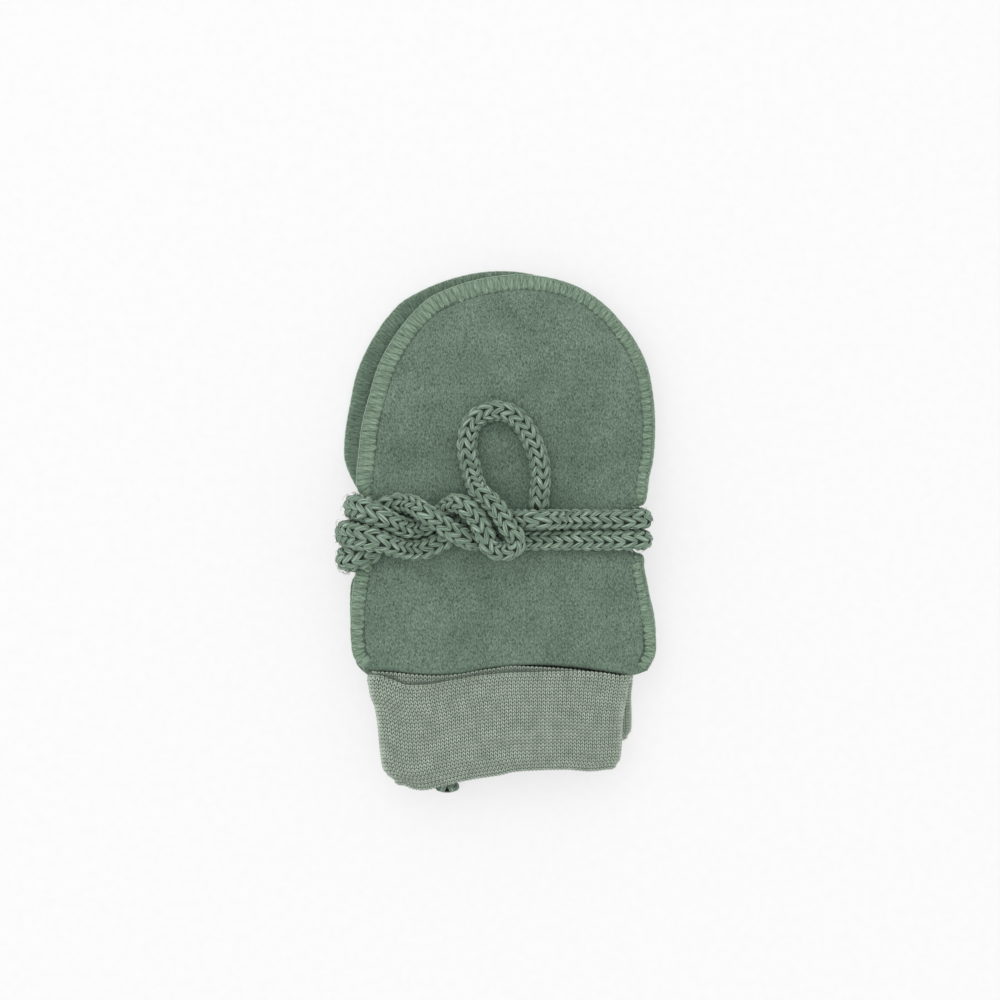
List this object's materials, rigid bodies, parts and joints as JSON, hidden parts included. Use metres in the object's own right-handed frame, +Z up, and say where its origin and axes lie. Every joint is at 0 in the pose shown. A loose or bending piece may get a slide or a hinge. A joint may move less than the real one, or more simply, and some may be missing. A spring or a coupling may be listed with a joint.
{
  "type": "pair of baby mittens",
  "caption": "Thumbless baby mittens in brushed wool knit with turned-up knitted cuffs, laid flat on each other and tied together with a knitted cord in a half bow.",
  "frame": {"origin": "middle of the mittens' footprint, on the surface they lie on, without the cord", "axes": "+Z up, +Y towards the closed finger ends, +X to the right as seen from above"},
  "size_m": [0.0881, 0.1448, 0.0279],
  "materials": {
    "wool": "brushed wool knit, matte with a short nap",
    "rib": "fine knitted rib, matte",
    "cord": "knitted wool cord, matte"
  },
  "bodies": {
    "root": {"lower_back_panel": "wool", "lower_front_panel": "wool", "upper_back_panel": "wool", "upper_front_panel": "wool", "lower_cuff": "rib", "upper_cuff": "rib", "tie_cord": "cord"}
  },
  "joints": []
}
